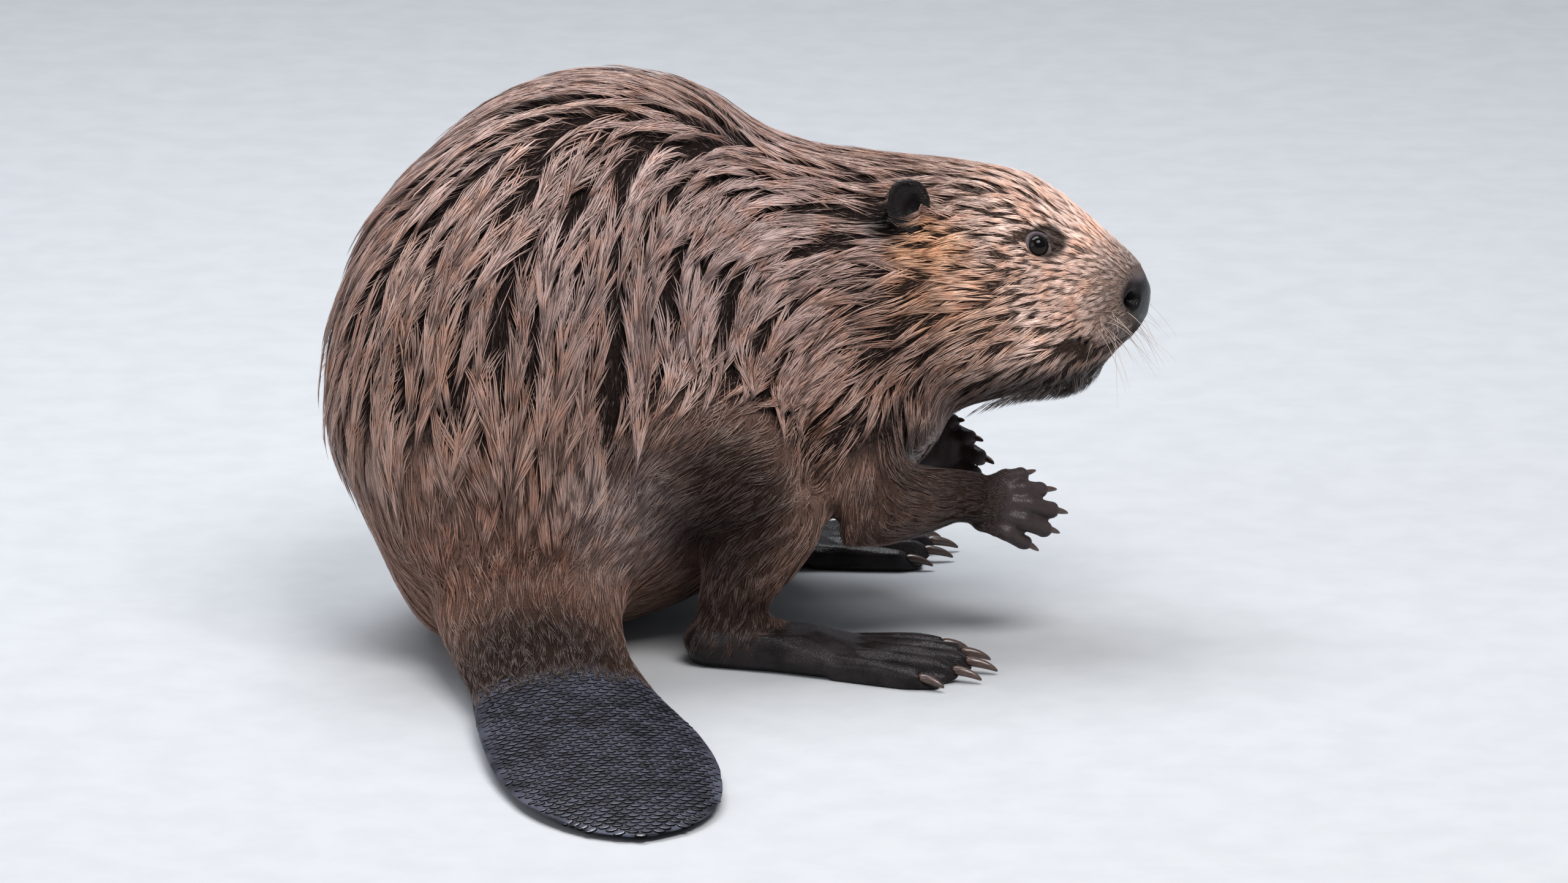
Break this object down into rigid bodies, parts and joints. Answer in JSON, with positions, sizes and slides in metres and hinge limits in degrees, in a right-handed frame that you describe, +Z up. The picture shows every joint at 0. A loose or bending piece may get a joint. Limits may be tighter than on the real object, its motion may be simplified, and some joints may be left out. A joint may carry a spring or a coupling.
{
  "type": "beaver",
  "caption": "Life-size still model of a wet adult beaver sitting hunched on its rump and webbed hind feet, forepaws raised, broad scaly tail laid flat.",
  "frame": {"origin": "centre of the bounding box's bottom face, on the surface that the beaver sits on", "axes": "+X forwards from rump to nose, +Y to the beaver's left, +Z up"},
  "size_m": [0.481, 0.6706, 0.3282],
  "materials": {
    "fur": "wet, clumped brown guard hair over dark underfur",
    "bare_skin": "wet dark skin of paws, feet, ears and nose",
    "tail_scale": "wet blue-black overlapping scales",
    "eye": "wet, near black",
    "claw": "dark reddish horn"
  },
  "bodies": {
    "root": {"head": "fur", "neck": "fur", "trunk": "fur", "tail_root": "fur", "foreleg_right": "fur", "hind_leg_right": "fur", "foreleg_left": "fur", "hind_leg_left": "fur", "forepaw_right": "bare_skin", "hind_foot_right": "bare_skin", "ear_right": "bare_skin", "forepaw_left": "bare_skin", "hind_foot_left": "bare_skin", "ear_left": "bare_skin", "nose": "bare_skin", "tail": "tail_scale", "eye_right": "eye", "eye_left": "eye", "claw_hand_right_1": "claw", "claw_hand_right_2": "claw", "claw_hand_right_3": "claw", "claw_hand_right_4": "claw", "claw_hand_right_5": "claw", "claw_hand_left_1": "claw", "claw_hand_left_2": "claw", "claw_hand_left_3": "claw", "claw_hand_left_4": "claw", "claw_hand_left_5": "claw", "claw_foot_right_1": "claw", "claw_foot_right_2": "claw", "claw_foot_right_3": "claw", "claw_foot_right_4": "claw", "claw_foot_right_5": "claw", "claw_foot_left_1": "claw", "claw_foot_left_2": "claw", "claw_foot_left_3": "claw", "claw_foot_left_4": "claw", "claw_foot_left_5": "claw"}
  },
  "joints": []
}
